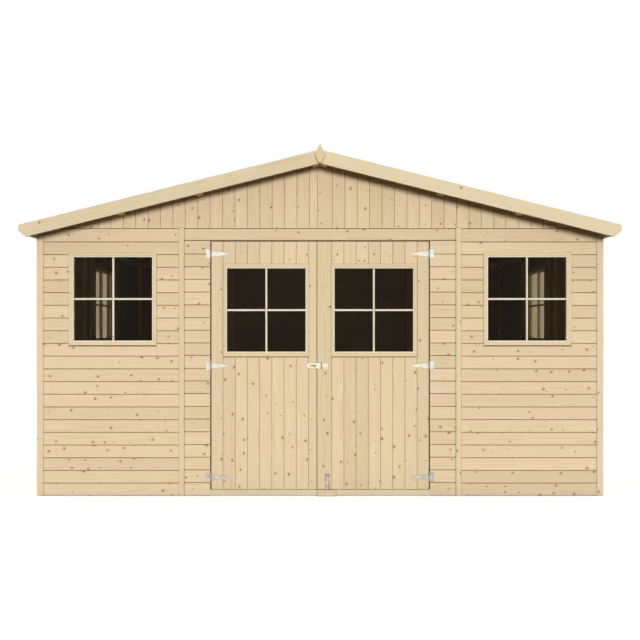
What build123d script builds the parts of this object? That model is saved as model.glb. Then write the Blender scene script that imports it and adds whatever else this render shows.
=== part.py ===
from build123d import *
import os
from math import cos, radians, sin, tan

# A timber garden shed: tongued and grooved boards on battens, a pitched boarded
# roof on purlins, four windows and a pair of glazed doors hung on tee hinges.
# Millimetres. X runs to the right along the front, Y to the back, Z up.
# The origin is on the ground under the middle of the shed.

# ---- the shed as a whole -------------------------------------------------
body_width = 3926.0          # over the corner strips
body_depth = 3080.0          # over the corner strips
panel_height = 1853.0        # wall panels, from the ground to the gable boards
roof_slope = 14.0            # degrees
eaves_overhang = 69.0        # corner strip to the tip of a bargeboard
gable_overhang = 150.0       # end cladding to the end of the roof boards
gable_foot = 6.0             # height of the gable boards at the side walls

# ---- timber sections -----------------------------------------------------
board_thickness = 16.0       # cladding boards
batten_depth = 28.0          # battens that the boards are nailed to
batten_width = 45.0
strip_thickness = 10.0       # strips over corners and panel joints
corner_strip_width = 45.0
cover_strip_width = 34.0
deck_thickness = 18.0
purlin_width = 44.0
purlin_height = 60.0
purlin_offsets = (40.0, 840.0, 1380.0)    # from the ridge, level
bargeboard_height = 90.0
bargeboard_thickness = 18.0
bargeboard_rise = 2.0        # above the roof boards
tail_corner = 5.0            # the slanted cut at the foot of a bargeboard
tail_nose_drop = 38.0
tail_chamfer = 53.0
eaves_board_thickness = 16.0
eaves_board_height = 42.0
eaves_board_setback = 8.0    # from the tip of the bargeboards
finial_thickness = 14.0
finial_tip = 34.0            # above the top of the bargeboards
finial_shoulder_drop = 36.0
finial_half_width = 36.0
finial_foot_half_width = 13.0

# ---- panels and windows --------------------------------------------------
doorway_side = 197.5              # doorway to the edge of the middle panel
side_panel_width = 1060.0         # middle panel of a side wall
window_off_centre = 19.0          # front windows, from the middle of their panels to the doors
window_drop = 180.0               # top of a panel to the top of its window's frame
window_clear_width = 541.0
window_clear_height = 577.0
window_side_width = 33.5          # face of the frame beside the glass
window_foot_height = 37.0
window_head_height = 18.0
window_proud = 6.0                # frame in front of the cladding
window_into_room = 10.0           # frame behind the battens
glass_thickness = 4.0
glass_setback = 24.0              # frame's face to the glass
glass_groove = 6.0                # how far the glass runs into the frame

# ---- doors ---------------------------------------------------------------
doorway_width = 1523.0
head_board_height = 86.0
sill_height = 43.0
leaf_side_gap = 9.0
leaf_top_gap = 9.0
leaf_bottom_gap = 5.0
meeting_offset = -22.0            # the line where the leaves meet
meeting_gap = 6.0
meeting_lap = 17.5                # tongue of the left leaf behind the right one
lap_end_gap = 9.0
leaf_stile_width = 62.0
leaf_rail_height = 70.0
door_window_drop = 152.0          # top of a leaf to the top of its window's frame
door_window_from_middle = 77.0    # middle of the doorway to a window's frame
door_window_from_edge = 81.5      # hinge edge of a leaf to its window's frame
door_window_clear_height = 571.0
door_window_side_width = 28.0
door_window_foot_height = 37.0
door_window_head_height = 34.0

# ---- door furniture ------------------------------------------------------
hinge_foot_margin = 82.0          # lowest hinge above the foot of the leaf
hinge_head_margin = 81.0          # highest hinge below the top of the leaf
hinge_below_window = 62.0         # middle hinge and hasp below the window's frame
hinge_metal = 2.5
hinge_plate_width = 27.0
hinge_plate_height = 62.0
hinge_strap_length = 122.0
hinge_strap_root = 39.0
hinge_strap_tip = 15.0
hinge_barrel_radius = 4.5
hinge_pin_radius = 2.5
barrel_lift = 0.5                 # hinge barrels in front of the cladding
barrel_side_gap = 1.0
knuckle_gap = 0.5
pin_play = 0.25
hasp_metal = 2.5
hasp_plate_width = 42.0
hasp_plate_height = 42.0
hasp_axis_offset = 9.0
hasp_lift = 5.0                   # back of the strap in front of the cladding
hasp_barrel_radius = 3.5
hasp_pin_radius = 2.0
hasp_knuckle_height = 11.0
hasp_root_gap = 2.0               # barrel to the wide part of the strap
hasp_strap_length = 102.0
hasp_strap_height = 39.5
slot_play = 2.0                   # above and below the staple
slot_run = 14.5                   # past the staple, for the swing of the leaves
hasp_slot_from_axis = 38.0
staple_wire = 5.0
staple_width = 20.0
staple_reach = 14.0
staple_play = 2.5
bolt_offset = 50.0
bolt_plate_width = 36.0
bolt_plate_height = 100.0
bolt_plate_thickness = 2.0
bolt_plate_rise = 5.0             # above the bottom of the leaf
bolt_rod_radius = 4.5
bolt_play = 0.4
bolt_rod_lift = 2.5               # rod in front of its plate
bolt_rod_length = 100.0
bolt_tip_gap = 3.0
bolt_guide_width = 18.0
bolt_guide_height = 12.0
bolt_guide_cover = 2.5
bolt_guide_lift = 9.0             # lower guide above the foot of its plate
bolt_knob_radius = 4.0
bolt_knob_length = 14.0
bolt_knob_lift = 62.0             # above the tip of the rod
keeper_width = 128.0
keeper_depth = 20.0
keeper_offset = 45.0
keeper_play = 3.0                 # round the rod
keeper_hole_depth = 30.0

# ---- fits ----------------------------------------------------------------
joint_gap = 0.3                   # hairline between fixed pieces
glass_play = 0.8                  # glass edge to the foot of its groove

# ---- planes and levels that follow ---------------------------------------
clad_x = body_width / 2 - strip_thickness       # outer face of side cladding
clad_y = body_depth / 2 - strip_thickness       # outer face of end cladding
batten_x = clad_x - board_thickness
batten_y = clad_y - board_thickness
room_x = batten_x - batten_depth
room_y = batten_y - batten_depth
panel_joint_x = doorway_width / 2 + doorway_side
panel_joint_y = side_panel_width / 2
deck_end_y = clad_y + gable_overhang
roof_tip_x = body_width / 2 + eaves_overhang
slope = radians(roof_slope)
deck_rise = deck_thickness / cos(slope)
side_top = panel_height + gable_foot - joint_gap
doorway_x = doorway_width / 2
door_head = panel_height - head_board_height
leaf_edge_x = doorway_x - leaf_side_gap
leaf_foot = sill_height + leaf_bottom_gap
leaf_top = door_head - leaf_top_gap
left_meeting = meeting_offset - meeting_gap / 2
right_meeting = meeting_offset + meeting_gap / 2
tongue_end = left_meeting + meeting_gap + meeting_lap
right_stile_edge = tongue_end + lap_end_gap
wall_window_offset = (panel_joint_x + clad_x) / 2 - window_off_centre
window_head = panel_height - window_drop
door_window_x = (door_window_from_middle, leaf_edge_x - door_window_from_edge)
door_window_head = leaf_top - door_window_drop
door_window_frame_height = (
    door_window_foot_height + door_window_clear_height + door_window_head_height
)
hasp_height = door_window_head - door_window_frame_height - hinge_below_window
hinge_heights = (leaf_foot + hinge_foot_margin, hasp_height, leaf_top - hinge_head_margin)
hinge_axis_x = doorway_x - leaf_side_gap / 2
hinge_axis_out = hinge_barrel_radius + barrel_lift
hasp_axis_out = hasp_lift + hasp_metal / 2
hasp_slot_height = staple_wire + 2 * slot_play
hasp_slot_length = staple_play + staple_width + slot_run
bolt_rod_out = bolt_plate_thickness + bolt_rod_lift + bolt_rod_radius
keeper_hole_radius = bolt_rod_radius + keeper_play


def under_deck(x):
    """Height of the underside of the roof boards above a level offset x."""
    return panel_height + gable_foot + (clad_x - abs(x)) * tan(slope)


def above_deck(x):
    """Height of the top of the roof boards."""
    return under_deck(x) + deck_rise


def block(x, y, z):
    """A straight piece of timber or metal between three pairs of planes."""
    size = [abs(pair[1] - pair[0]) for pair in (x, y, z)]
    middle = [(pair[0] + pair[1]) / 2 for pair in (x, y, z)]
    return Pos(*middle) * Box(*size)


def profile(points, y):
    """A piece with an outline in the XZ plane, between two planes of Y."""
    wire = Polyline(*[(px, y[0], pz) for px, pz in points], close=True)
    return extrude(make_face(wire), amount=y[1] - y[0], dir=(0, 1, 0))


def side_pair(solids):
    """The same pieces on the left and on the right."""
    return solids + [mirror(s, about=Plane.YZ) for s in solids]


def end_pair(solids):
    """The same pieces at the front and at the back."""
    return solids + [mirror(s, about=Plane.XZ) for s in solids]


def turned(solid):
    """A piece of the front wall turned to stand in the right side wall."""
    return Rot(0, 0, 90) * solid


def save(name, solids):
    """Write one node of the shed as parts/NAME.step."""
    loose = []
    for solid in solids:
        loose += solid.solids()
    export_step(Compound(children=loose), f"parts/{name}.step")


# ---- windows -------------------------------------------------------------
class Window:
    """A glazed frame seen from outside: where it sits and how wide its parts are."""

    def __init__(self, outer_x, head, clear_height, side, foot_height, head_height, depth):
        self.outer_x = outer_x
        self.x = (outer_x[0] + side, outer_x[1] - side)
        self.z = (head - head_height - clear_height, head - head_height)
        self.outer_z = (self.z[0] - foot_height, head)
        self.depth = depth

    def members(self, face):
        """Two stiles with a head and a foot between them, grooved for the glass."""
        y = (face - window_proud, face - window_proud + self.depth)
        stiles = [
            block((self.outer_x[0], self.x[0]), y, self.outer_z),
            block((self.x[1], self.outer_x[1]), y, self.outer_z),
        ]
        between = (self.x[0] + joint_gap, self.x[1] - joint_gap)
        rails = [
            block(between, y, (self.outer_z[0], self.z[0])),
            block(between, y, (self.z[1], self.outer_z[1])),
        ]
        return [piece - self.pane(face, 0, joint_gap) for piece in stiles + rails]

    def pane(self, face, edge_play, face_play=0.0):
        """The glass, or with play the groove that it sits in."""
        reach = glass_groove - edge_play
        front = face - window_proud + glass_setback
        return block(
            (self.x[0] - reach, self.x[1] + reach),
            (front - face_play, front + glass_thickness + face_play),
            (self.z[0] - reach, self.z[1] + reach),
        )

    def boards_around(self, x, y, z):
        """A boarded panel in four pieces round the window: below, above and beside."""
        left, right = self.outer_x[0] - joint_gap, self.outer_x[1] + joint_gap
        low, high = self.outer_z[0] - joint_gap, self.outer_z[1] + joint_gap
        return [
            block(x, y, (z[0], low)),
            block(x, y, (high, z[1])),
            block((x[0], left), y, (low + joint_gap, high - joint_gap)),
            block((right, x[1]), y, (low + joint_gap, high - joint_gap)),
        ]

    def battens_around(self, y, z):
        """Two studs beside the window and two short rails between them."""
        left, right = self.outer_x[0] - joint_gap, self.outer_x[1] + joint_gap
        low, high = self.outer_z[0] - joint_gap, self.outer_z[1] + joint_gap
        between = (left + joint_gap, right - joint_gap)
        return [
            block((left - batten_width, left), y, z),
            block((right, right + batten_width), y, z),
            block(between, y, (low - batten_width, low)),
            block(between, y, (high, high + batten_width)),
        ]


def wall_window(offset):
    """One of the four like windows of the walls."""
    half = window_clear_width / 2 + window_side_width
    return Window(
        (offset - half, offset + half),
        window_head,
        window_clear_height,
        window_side_width,
        window_foot_height,
        window_head_height,
        window_proud + board_thickness + batten_depth + window_into_room,
    )


def door_window(outer_x):
    """The window of a door leaf, flush with the back of the leaf's frame."""
    return Window(
        outer_x,
        door_window_head,
        door_window_clear_height,
        door_window_side_width,
        door_window_foot_height,
        door_window_head_height,
        window_proud + board_thickness + batten_depth,
    )


# ---- front and back walls ------------------------------------------------
board_y = (-clad_y, -batten_y)          # cladding of the front
batten_zone_y = (-batten_y, -room_y)    # battens of the front
outer_panel_x = (panel_joint_x + joint_gap / 2, clad_x)
stud_z = (batten_width + joint_gap, panel_height - batten_width - joint_gap)


def front_right_boards():
    return wall_window(wall_window_offset).boards_around(
        outer_panel_x, board_y, (0, panel_height - joint_gap)
    )


def boards_beside_doors():
    x = (doorway_x, panel_joint_x - joint_gap / 2)
    return side_pair([block(x, board_y, (0, door_head - joint_gap))])


def door_head_board():
    half = panel_joint_x - joint_gap / 2
    return [block((-half, half), board_y, (door_head, panel_height - joint_gap))]


def purlin(offset, play=0.0, end=deck_end_y):
    """A purlin square to the slope, or with play the notch that it lies in."""
    along = (cos(slope), -sin(slope))
    down = (-sin(slope), -cos(slope))
    half = purlin_width / 2 + play
    start = joint_gap - play
    depth = joint_gap + purlin_height + play
    corners = [(-half, start), (half, start), (half, depth), (-half, depth)]
    points = [
        (
            offset + a * along[0] + d * down[0],
            under_deck(offset) + a * along[1] + d * down[1],
        )
        for a, d in corners
    ]
    return profile(points, (-end, end))


def gable_boards():
    """Vertical boards from the wall panels up to the roof, notched for the purlins."""
    gap = joint_gap / cos(slope)
    outline = [
        (-clad_x, panel_height),
        (clad_x, panel_height),
        (clad_x, under_deck(clad_x) - gap),
        (0, under_deck(0) - gap),
        (-clad_x, under_deck(clad_x) - gap),
    ]
    gable = profile(outline, board_y)
    for notch in side_pair([purlin(offset, joint_gap) for offset in purlin_offsets]):
        gable -= notch
    return [gable]


def gable_battens():
    """Sloping battens under the purlins and a post under the ridge, behind the boards."""
    drop = (purlin_height + 2 * joint_gap) / cos(slope)
    height = batten_width / cos(slope)
    foot = panel_height
    top_foot_x = clad_x - (foot + drop - under_deck(clad_x)) / tan(slope)
    low_foot_x = top_foot_x - height / tan(slope)
    ridge = joint_gap / 2
    rafter = profile(
        [
            (ridge, under_deck(ridge) - drop),
            (top_foot_x, foot),
            (low_foot_x, foot),
            (ridge, under_deck(ridge) - drop - height),
        ],
        batten_zone_y,
    )
    half = batten_width / 2
    post_top = under_deck(half) - drop - height - joint_gap
    post = block((-half, half), batten_zone_y, (foot, post_top))
    return end_pair(side_pair([rafter]) + [post])


def outer_panel_battens(window):
    """Battens of a right-hand outer panel: rails at foot and top, studs between."""
    x = (panel_joint_x + joint_gap / 2, batten_x)
    y = batten_zone_y
    pieces = [
        block(x, y, (0, batten_width)),
        block(x, y, (panel_height - batten_width, panel_height - joint_gap)),
        block((x[0], x[0] + batten_width), y, stud_z),
        block((x[1] - batten_width, x[1]), y, stud_z),
    ]
    if window:
        return pieces + window.battens_around(y, stud_z)
    middle = (x[0] + x[1]) / 2
    stud_x = (middle - batten_width / 2, middle + batten_width / 2)
    return pieces + [block(stud_x, y, stud_z)]


def front_battens():
    """Battens of the front wall, with the lintel over the doorway."""
    y = batten_zone_y
    joint = panel_joint_x - joint_gap / 2
    post = doorway_x + batten_width + joint_gap
    right = outer_panel_battens(wall_window(wall_window_offset))
    right += [
        block((joint - batten_width, joint), y, (0, door_head - joint_gap)),
        block((post, joint - batten_width - joint_gap), y, (0, batten_width)),
    ]
    lintel = block((-joint, joint), y, (door_head, panel_height - joint_gap))
    return side_pair(right) + [lintel]


def door_posts():
    """The two posts that the leaves are hung on, behind the boards of the wall."""
    x = (doorway_x, doorway_x + batten_width)
    return side_pair([block(x, batten_zone_y, (0, door_head - joint_gap))])


def door_sill():
    x = doorway_x - joint_gap
    return [block((-x, x), (-clad_y, -room_y), (0, sill_height))]


def back_boards():
    """Three boarded panels."""
    z = (0, panel_height - joint_gap)
    half = panel_joint_x - joint_gap / 2
    panels = side_pair([block(outer_panel_x, board_y, z)])
    panels.append(block((-half, half), board_y, z))
    return [mirror(panel, about=Plane.XZ) for panel in panels]


def back_battens():
    y = batten_zone_y
    joint = panel_joint_x - joint_gap / 2
    pieces = side_pair(outer_panel_battens(None))
    pieces += [
        block((-joint, joint), y, (0, batten_width)),
        block((-joint, joint), y, (panel_height - batten_width, panel_height - joint_gap)),
        block((-batten_width / 2, batten_width / 2), y, stud_z),
    ]
    pieces += side_pair([block((joint - batten_width, joint), y, stud_z)])
    return [mirror(piece, about=Plane.XZ) for piece in pieces]


# ---- side walls ----------------------------------------------------------
# Each is drawn as a front wall, seen from outside, and turned to its side.
side_board_y = (-clad_x, -batten_x)
side_batten_y = (-batten_x, -room_x)


def side_wall_boards():
    """Boards of the right side wall: two plain panels and one with the window."""
    joint = panel_joint_y
    middle = wall_window(0).boards_around(
        (-joint + joint_gap / 2, joint - joint_gap / 2), side_board_y, (0, side_top)
    )
    plain = block((joint + joint_gap / 2, batten_y), side_board_y, (0, side_top))
    return [turned(piece) for piece in middle + side_pair([plain])]


def side_wall_battens():
    """Battens of both side walls; the top rail is bevelled to carry the roof boards."""
    y = side_batten_y
    rail_foot = panel_height - batten_width
    gap = joint_gap / cos(slope)
    rail = profile(
        [
            (room_x, rail_foot),
            (batten_x, rail_foot),
            (batten_x, under_deck(batten_x) - gap),
            (room_x, under_deck(room_x) - gap),
        ],
        (-room_y, room_y),
    )
    stud_half = batten_width / 2
    end_stud = (room_y - batten_width, room_y)
    joint_stud = (panel_joint_y - stud_half, panel_joint_y + stud_half)
    pieces = side_pair([block(end_stud, y, stud_z), block(joint_stud, y, stud_z)])
    pieces += [block((-room_y, room_y), y, (0, batten_width))]
    pieces += wall_window(0).battens_around(y, stud_z)
    return side_pair([turned(piece) for piece in pieces] + [rail])


# ---- strips --------------------------------------------------------------
def corner_strips():
    """An angle of two boards over each corner, from the ground to the roof."""
    top = under_deck(body_width / 2) - joint_gap
    x, y = body_width / 2, body_depth / 2
    outer = block((x - corner_strip_width, x), (y - corner_strip_width, y), (0, top))
    corner = outer - block((0, clad_x), (0, clad_y), (0, top))
    return end_pair(side_pair([corner]))


def cover_strips():
    """Flat strips over the joints between panels."""
    half = cover_strip_width / 2
    front = block(
        (panel_joint_x - half, panel_joint_x + half),
        (-body_depth / 2, -clad_y),
        (0, panel_height),
    )
    side = block(
        (panel_joint_y - half, panel_joint_y + half),
        (-body_width / 2, -clad_x),
        (0, under_deck(body_width / 2) - joint_gap),
    )
    sides = [turned(piece) for piece in side_pair([side])]
    return end_pair(side_pair([front])) + side_pair(sides)


# ---- roof ----------------------------------------------------------------
def deck_end_x():
    return roof_tip_x - eaves_board_setback - eaves_board_thickness


def roof_deck():
    """Roof boards of the right-hand slope, from the ridge to the eaves."""
    ridge, edge = joint_gap / 2, deck_end_x() - joint_gap
    outline = [
        (ridge, under_deck(ridge)),
        (edge, under_deck(edge)),
        (edge, above_deck(edge)),
        (ridge, above_deck(ridge)),
    ]
    return [profile(outline, (-deck_end_y, deck_end_y))]


def eaves_boards():
    """A board on edge over the ends of the roof boards, along both eaves."""
    inner = deck_end_x()
    outer = inner + eaves_board_thickness
    foot = above_deck(inner) - eaves_board_height
    outline = [
        (inner, foot),
        (outer, foot),
        (outer, above_deck(outer)),
        (inner, above_deck(inner)),
    ]
    return side_pair([profile(outline, (-deck_end_y, deck_end_y))])


def bargeboards():
    """The pair over the front edge of the roof, meeting at a plumb cut."""
    ridge, tip = joint_gap / 2, roof_tip_x
    height = bargeboard_height / cos(slope)

    def top(x):
        return above_deck(x) + bargeboard_rise

    outline = [
        (ridge, top(ridge)),
        (tip - tail_corner, top(tip - tail_corner)),
        (tip, top(tip) - tail_nose_drop),
        (tip - tail_chamfer, top(tip - tail_chamfer) - height),
        (ridge, top(ridge) - height),
    ]
    y = (-deck_end_y - bargeboard_thickness, -deck_end_y)
    return side_pair([profile(outline, y)])


def finials():
    """A kite-shaped board over the joint of each pair of bargeboards."""
    top = above_deck(0) + bargeboard_rise
    shoulder = top - finial_shoulder_drop
    foot = top - bargeboard_height / cos(slope)
    outline = [
        (0, top + finial_tip),
        (finial_half_width, shoulder),
        (finial_foot_half_width, foot),
        (-finial_foot_half_width, foot),
        (-finial_half_width, shoulder),
    ]
    face = -deck_end_y - bargeboard_thickness
    return end_pair([profile(outline, (face - finial_thickness, face))])


# ---- door leaves ---------------------------------------------------------
leaf_z = (leaf_foot, leaf_top)
left_boards_x = (-leaf_edge_x, left_meeting)
right_boards_x = (right_meeting, leaf_edge_x)


def leaf_frame(hinge_stile_x, meeting_stile_x, window):
    """Stiles and rails behind the boards of a leaf."""
    y = batten_zone_y
    inner_x = sorted((hinge_stile_x, meeting_stile_x))
    between = (inner_x[0][1] + joint_gap, inner_x[1][0] - joint_gap)
    low = window.outer_z[0] - joint_gap
    high = window.outer_z[1] + joint_gap
    return [
        block(hinge_stile_x, y, leaf_z),
        block(meeting_stile_x, y, leaf_z),
        block(between, y, (leaf_foot, leaf_foot + leaf_rail_height)),
        block(between, y, (low - leaf_rail_height, low)),
        block(between, y, (high, high + leaf_rail_height)),
    ]


def left_leaf_frame(window):
    """The meeting stile runs on as a tongue behind the right leaf."""
    hinge_stile = (-leaf_edge_x, -leaf_edge_x + leaf_stile_width)
    meeting_stile = (window.outer_x[1] + joint_gap, tongue_end)
    pieces = leaf_frame(hinge_stile, meeting_stile, window)
    rebate = block(
        (left_meeting, tongue_end),
        (-batten_y, -batten_y + meeting_gap),
        leaf_z,
    )
    pieces[1] -= rebate
    return pieces


def right_leaf_frame(window):
    hinge_stile = (leaf_edge_x - leaf_stile_width, leaf_edge_x)
    meeting_stile = (right_stile_edge, right_stile_edge + leaf_stile_width)
    return leaf_frame(hinge_stile, meeting_stile, window)


# ---- tee hinges ----------------------------------------------------------
def upright(x, out, radius, z):
    """An upright round bar in front of the cladding."""
    height = z[1] - z[0]
    return Pos(x, -clad_y - out, (z[0] + z[1]) / 2) * Cylinder(radius, height)


def knuckle_levels(middle):
    """Levels of the strap's knuckle and of the plate's two, from the bottom up."""
    half = hinge_strap_root / 2 - knuckle_gap
    end = hinge_plate_height / 2
    return (
        (middle - end, middle - half - 2 * knuckle_gap),
        (middle - half, middle + half),
        (middle + half + 2 * knuckle_gap, middle + end),
    )


def hinge_plate(middle):
    """The upright plate of a right-hand hinge, with its knuckles and pin."""
    low, _, high = knuckle_levels(middle)
    edge = hinge_axis_x + hinge_barrel_radius + barrel_side_gap
    face = (-clad_y - hinge_metal, -clad_y)
    end = hinge_plate_height / 2
    plate = block((edge, edge + hinge_plate_width), face, (middle - end, middle + end))
    for z in (low, high):
        plate += block((hinge_axis_x, edge), face, z)
        plate += upright(hinge_axis_x, hinge_axis_out, hinge_barrel_radius, z)
    plate += upright(hinge_axis_x, hinge_axis_out, hinge_pin_radius, (low[0], high[1]))
    return plate


def hinge_strap(middle):
    """The long tapered strap of a right-hand hinge, with its knuckle."""
    z = knuckle_levels(middle)[1]
    root = hinge_axis_x - hinge_barrel_radius - barrel_side_gap
    tip = hinge_axis_x - hinge_strap_length
    half_root, half_tip = hinge_strap_root / 2 - knuckle_gap, hinge_strap_tip / 2
    outline = [
        (root, middle - half_root),
        (root, middle + half_root),
        (tip + half_tip, middle + half_tip),
        (tip + half_tip, middle - half_tip),
    ]
    face = (-clad_y - hinge_metal, -clad_y)
    strap = profile(outline, face)
    nose = Pos(tip + half_tip, (face[0] + face[1]) / 2, middle)
    strap += nose * Rot(90, 0, 0) * Cylinder(half_tip, hinge_metal)
    strap += block((root, hinge_axis_x), face, z)
    strap += upright(hinge_axis_x, hinge_axis_out, hinge_barrel_radius, z)
    return strap - upright(hinge_axis_x, hinge_axis_out, hinge_pin_radius + pin_play, z)


# ---- hasp ----------------------------------------------------------------
def hasp_levels():
    """Levels of the plate's two knuckles and the strap's one between them."""
    end = hasp_plate_height / 2
    inner = end - hasp_knuckle_height
    return (
        (hasp_height - end, hasp_height - inner),
        (hasp_height - inner + knuckle_gap, hasp_height + inner - knuckle_gap),
        (hasp_height + inner, hasp_height + end),
    )


def hasp_plate():
    """The square plate on the right leaf, with its knuckles and pin."""
    low, _, high = hasp_levels()
    edge = hasp_axis_offset + hasp_barrel_radius + barrel_side_gap
    face = (-clad_y - hasp_metal, -clad_y)
    plate = block((edge, edge + hasp_plate_width), face, (low[0], high[1]))
    for z in (low, high):
        ear = (-clad_y - hasp_axis_out, -clad_y)
        plate += block((hasp_axis_offset, edge), ear, z)
        plate += upright(hasp_axis_offset, hasp_axis_out, hasp_barrel_radius, z)
    pin = (low[0], high[1])
    return [plate + upright(hasp_axis_offset, hasp_axis_out, hasp_pin_radius, pin)]


def hasp_strap():
    """The slotted strap, round at its free end, that folds over the staple."""
    z = hasp_levels()[1]
    half = hasp_strap_height / 2
    root = hasp_axis_offset - hasp_barrel_radius - hasp_root_gap
    tip = hasp_axis_offset - hasp_strap_length
    y = (-clad_y - hasp_axis_out - hasp_metal / 2, -clad_y - hasp_axis_out + hasp_metal / 2)
    middle_y = -clad_y - hasp_axis_out
    strap = block((tip + half, root), y, (hasp_height - half, hasp_height + half))
    nose = Pos(tip + half, middle_y, hasp_height) * Rot(90, 0, 0)
    strap += nose * Cylinder(half, hasp_metal)
    strap += block((root, hasp_axis_offset), y, z)
    strap += upright(hasp_axis_offset, hasp_axis_out, hasp_barrel_radius, z)
    bore = hasp_pin_radius + pin_play
    strap -= upright(hasp_axis_offset, hasp_axis_out, bore, z)
    slot_x = hasp_axis_offset - hasp_slot_from_axis - hasp_slot_length / 2
    slot = Pos(slot_x, middle_y, hasp_height) * Rot(90, 0, 0)
    rounded = SlotOverall(hasp_slot_length, hasp_slot_height)
    return [strap - slot * extrude(rounded, amount=hasp_metal, both=True)]


def hasp_staple():
    """The wire loop on the left leaf that comes through the slot."""
    slot_end = hasp_axis_offset - hasp_slot_from_axis
    middle = slot_end - staple_play - staple_width / 2
    radius = staple_wire / 2
    half = staple_width / 2 - radius
    top = -clad_y - staple_reach + radius
    path = FilletPolyline(
        (middle - half, -clad_y, hasp_height),
        (middle - half, top, hasp_height),
        (middle + half, top, hasp_height),
        (middle + half, -clad_y, hasp_height),
        radius=staple_wire,
    )
    start = Plane(origin=(middle - half, -clad_y, hasp_height), z_dir=(0, -1, 0))
    return [sweep(start * Circle(radius), path=path)]


# ---- tower bolt ----------------------------------------------------------
bolt_plate_foot = leaf_foot + bolt_plate_rise
bolt_tip = sill_height + bolt_tip_gap


def bolt_plate():
    """The back plate on the right leaf, with two guides round the rod."""
    back = (-clad_y - bolt_plate_thickness, -clad_y)
    half = bolt_plate_width / 2
    x = (bolt_offset - half, bolt_offset + half)
    top = bolt_plate_foot + bolt_plate_height
    plate = block(x, back, (bolt_plate_foot, top))
    half = bolt_guide_width / 2
    guide_x = (bolt_offset - half, bolt_offset + half)
    guide_y = (-clad_y - bolt_rod_out - bolt_rod_radius - bolt_guide_cover, back[0])
    for foot in (bolt_plate_foot + bolt_guide_lift, top - bolt_guide_lift - bolt_guide_height):
        plate += block(guide_x, guide_y, (foot, foot + bolt_guide_height))
    bore = bolt_rod_radius + bolt_play
    return [plate - upright(bolt_offset, bolt_rod_out, bore, (0, top + bolt_plate_height))]


def bolt_rod():
    """The round rod with its knob, standing just clear of the keeper."""
    rod = upright(bolt_offset, bolt_rod_out, bolt_rod_radius, (bolt_tip, bolt_tip + bolt_rod_length))
    knob_y = -clad_y - bolt_rod_out - bolt_knob_length / 2
    knob = Pos(bolt_offset, knob_y, bolt_tip + bolt_knob_lift) * Rot(90, 0, 0)
    return [rod + knob * Cylinder(bolt_knob_radius, bolt_knob_length)]


def bolt_keeper():
    """A block on the face of the sill with the hole that the rod drops into."""
    half = keeper_width / 2
    x = (keeper_offset - half, keeper_offset + half)
    keeper = block(x, (-clad_y - keeper_depth, -clad_y), (0, sill_height))
    hole_z = (sill_height - keeper_hole_depth, sill_height + keeper_hole_depth)
    return [keeper - upright(bolt_offset, bolt_rod_out, keeper_hole_radius, hole_z)]


# ---- all the pieces ------------------------------------------------------
def mirrored(solids):
    return [mirror(solid, about=Plane.YZ) for solid in solids]


def save_walls():
    save("front_wall_left", mirrored(front_right_boards()))
    save("front_wall_right", front_right_boards())
    save("front_wall_beside_doors", boards_beside_doors())
    save("door_head_board", door_head_board())
    save("front_gable", gable_boards())
    save("back_gable", [mirror(gable, about=Plane.XZ) for gable in gable_boards()])
    save("back_wall", back_boards())
    save("left_wall", mirrored(side_wall_boards()))
    save("right_wall", side_wall_boards())
    save("front_wall_battens", front_battens())
    save("back_wall_battens", back_battens())
    save("side_wall_battens", side_wall_battens())
    save("gable_battens", gable_battens())
    save("door_posts", door_posts())
    save("door_sill", door_sill())
    save("corner_strips", corner_strips())
    save("cover_strips", cover_strips())


def save_windows():
    front = wall_window(wall_window_offset)
    save("front_window_frames", side_pair(front.members(-clad_y)))
    save("front_window_glass", side_pair([front.pane(-clad_y, glass_play)]))
    side = wall_window(0)
    frames = [turned(member) for member in side.members(-clad_x)]
    save("side_window_frames", side_pair(frames))
    save("side_window_glass", side_pair([turned(side.pane(-clad_x, glass_play))]))


def save_roof():
    save("roof_deck_left", mirrored(roof_deck()))
    save("roof_deck_right", roof_deck())
    save("purlins", side_pair([purlin(offset) for offset in purlin_offsets]))
    save("eaves_boards", eaves_boards())
    save("front_bargeboards", bargeboards())
    save("back_bargeboards", [mirror(board, about=Plane.XZ) for board in bargeboards()])
    save("finials", finials())


def save_leaf(side, boards_x, window, frame):
    save(f"{side}_door_boards", window.boards_around(boards_x, board_y, leaf_z))
    save(f"{side}_door_frame", frame)
    save(f"{side}_door_window", window.members(-clad_y))
    save(f"{side}_door_glass", [window.pane(-clad_y, glass_play)])


def save_doors():
    left = door_window((-door_window_x[1], -door_window_x[0]))
    right = door_window(door_window_x)
    save_leaf("left", left_boards_x, left, left_leaf_frame(left))
    save_leaf("right", right_boards_x, right, right_leaf_frame(right))
    straps = [hinge_strap(height) for height in hinge_heights]
    save("right_door_straps", straps)
    save("left_door_straps", mirrored(straps))
    save("hinge_plates", side_pair([hinge_plate(height) for height in hinge_heights]))
    save("hasp_plate", hasp_plate())
    save("hasp_strap", hasp_strap())
    save("hasp_staple", hasp_staple())
    save("bolt_plate", bolt_plate())
    save("bolt_rod", bolt_rod())
    save("bolt_keeper", bolt_keeper())


os.makedirs("parts", exist_ok=True)
save_walls()
save_windows()
save_roof()
save_doors()
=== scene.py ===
import random
from math import cos, pi, radians, sin, tan

import bmesh
import bpy
import numpy as np
from mathutils import Matrix, Vector


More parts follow.
